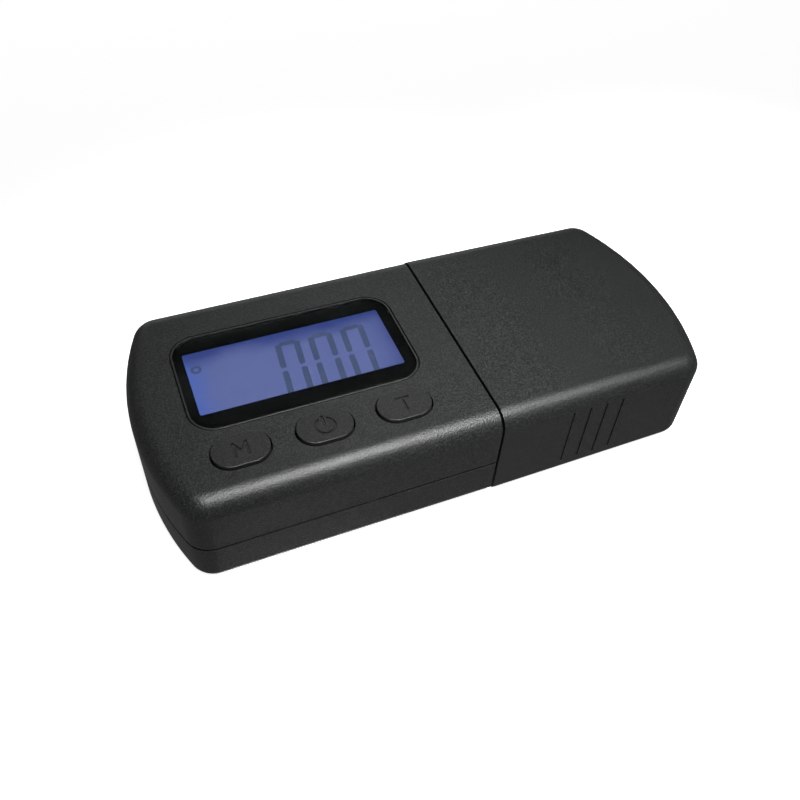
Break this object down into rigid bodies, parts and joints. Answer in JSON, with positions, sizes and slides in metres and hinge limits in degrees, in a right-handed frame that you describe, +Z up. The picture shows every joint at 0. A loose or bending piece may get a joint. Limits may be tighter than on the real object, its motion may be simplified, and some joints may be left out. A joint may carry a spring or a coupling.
{
  "type": "stylus force gauge",
  "caption": "Pocket digital stylus force gauge: backlit display and keys on top, a small weighing arm under a pull-off end cover, and a battery bay beneath.",
  "frame": {"origin": "on the surface the gauge stands on, below the middle of its length and width", "axes": "+X along the body from the display end to the pull-off cover, +Y to the side away from the keys, +Z up out of the display"},
  "size_m": [0.1024, 0.045, 0.0205],
  "materials": {
    "case_plastic": "fine spark texture, satin-matte black",
    "inner_plastic": "plain moulded black",
    "key_plastic": "fine texture, black, engraved legends",
    "lens": "clear acrylic with a glossy black printed border",
    "lcd": "backlit liquid crystal glass, blue",
    "light_guide": "clear edge-lit light guide, blue",
    "white_plastic": "plain white",
    "rubber": "dull black",
    "board_green": "glass epoxy board with green solder resist",
    "black_resin": "smooth black",
    "steel": "zinc-plated or stainless",
    "nickel": "nickel-plated spring steel",
    "aluminium": "milled",
    "coating": "white silicone over the strain gauges",
    "cell_jacket": "printed film over the steel can",
    "wire_red": "PVC",
    "wire_black": "PVC",
    "wire_white": "PVC",
    "wire_green": "PVC"
  },
  "bodies": {
    "case": {"upper_case": "case_plastic", "lower_case": "case_plastic", "sensor_cover": "inner_plastic", "foot_1": "rubber", "foot_2": "rubber", "foot_3": "rubber", "foot_4": "rubber", "display_lens": "lens", "lens_tape": "rubber", "lcd_panel": "lcd", "lcd_frame": "white_plastic", "zebra_strip": "rubber", "backlight_panel": "light_guide", "backlight_led": "white_plastic", "mode_switch": "nickel", "power_switch": "nickel", "tare_switch": "nickel", "main_board": "board_green", "chip_blob": "black_resin", "crystal_can": "nickel", "filter_capacitor": "aluminium", "board_screw_1": "steel", "board_screw_2": "steel", "board_screw_3": "steel", "board_screw_4": "steel", "battery_1": "cell_jacket", "battery_2": "cell_jacket", "negative_contact": "nickel", "positive_contact": "nickel", "bridge_contact": "nickel", "case_screw_1": "steel", "case_screw_2": "steel", "case_screw_3": "steel", "case_screw_4": "steel", "load_cell": "aluminium", "cell_spacer": "aluminium", "gauge_coating_top": "coating", "gauge_coating_bottom": "coating", "cell_screw_1": "steel", "cell_screw_2": "steel", "overload_stop_screw": "steel", "wire_red": "wire_red", "wire_black": "wire_black", "wire_white": "wire_white", "wire_green": "wire_green"},
    "cover": {"sliding_cover": "case_plastic"},
    "mode_key": {"mode_button": "key_plastic", "mode_plunger": "black_resin"},
    "power_key": {"power_button": "key_plastic", "power_plunger": "black_resin"},
    "tare_key": {"tare_button": "key_plastic", "tare_plunger": "black_resin"},
    "door": {"battery_door": "case_plastic"},
    "arm": {"weighing_arm": "steel", "arm_screw_1": "steel", "arm_screw_2": "steel"}
  },
  "joints": [
    {"name": "cover_slide", "type": "slide", "parent": "case", "child": "cover", "axis": [1, 0, 0], "range_m": [0, 0.05]},
    {"name": "mode_press", "type": "slide", "parent": "case", "child": "mode_key", "axis": [0, 0, -1], "range_m": [0, 0.0004], "stiffness_N_per_m": 2000, "springref_m": -0.0001},
    {"name": "power_press", "type": "slide", "parent": "case", "child": "power_key", "axis": [0, 0, -1], "range_m": [0, 0.0004], "stiffness_N_per_m": 2000, "springref_m": -0.0001},
    {"name": "tare_press", "type": "slide", "parent": "case", "child": "tare_key", "axis": [0, 0, -1], "range_m": [0, 0.0004], "stiffness_N_per_m": 2000, "springref_m": -0.0001},
    {"name": "door_swing", "type": "hinge", "parent": "case", "child": "door", "pos_m": [0.0021, 0, 0.0006], "axis": [0, -1, 0], "range_deg": [0, 60]},
    {"name": "arm_flex", "type": "slide", "parent": "case", "child": "arm", "axis": [0, 0, -1], "range_m": [0, 0.00025], "stiffness_N_per_m": 200, "springref_m": -0.0001}
  ]
}
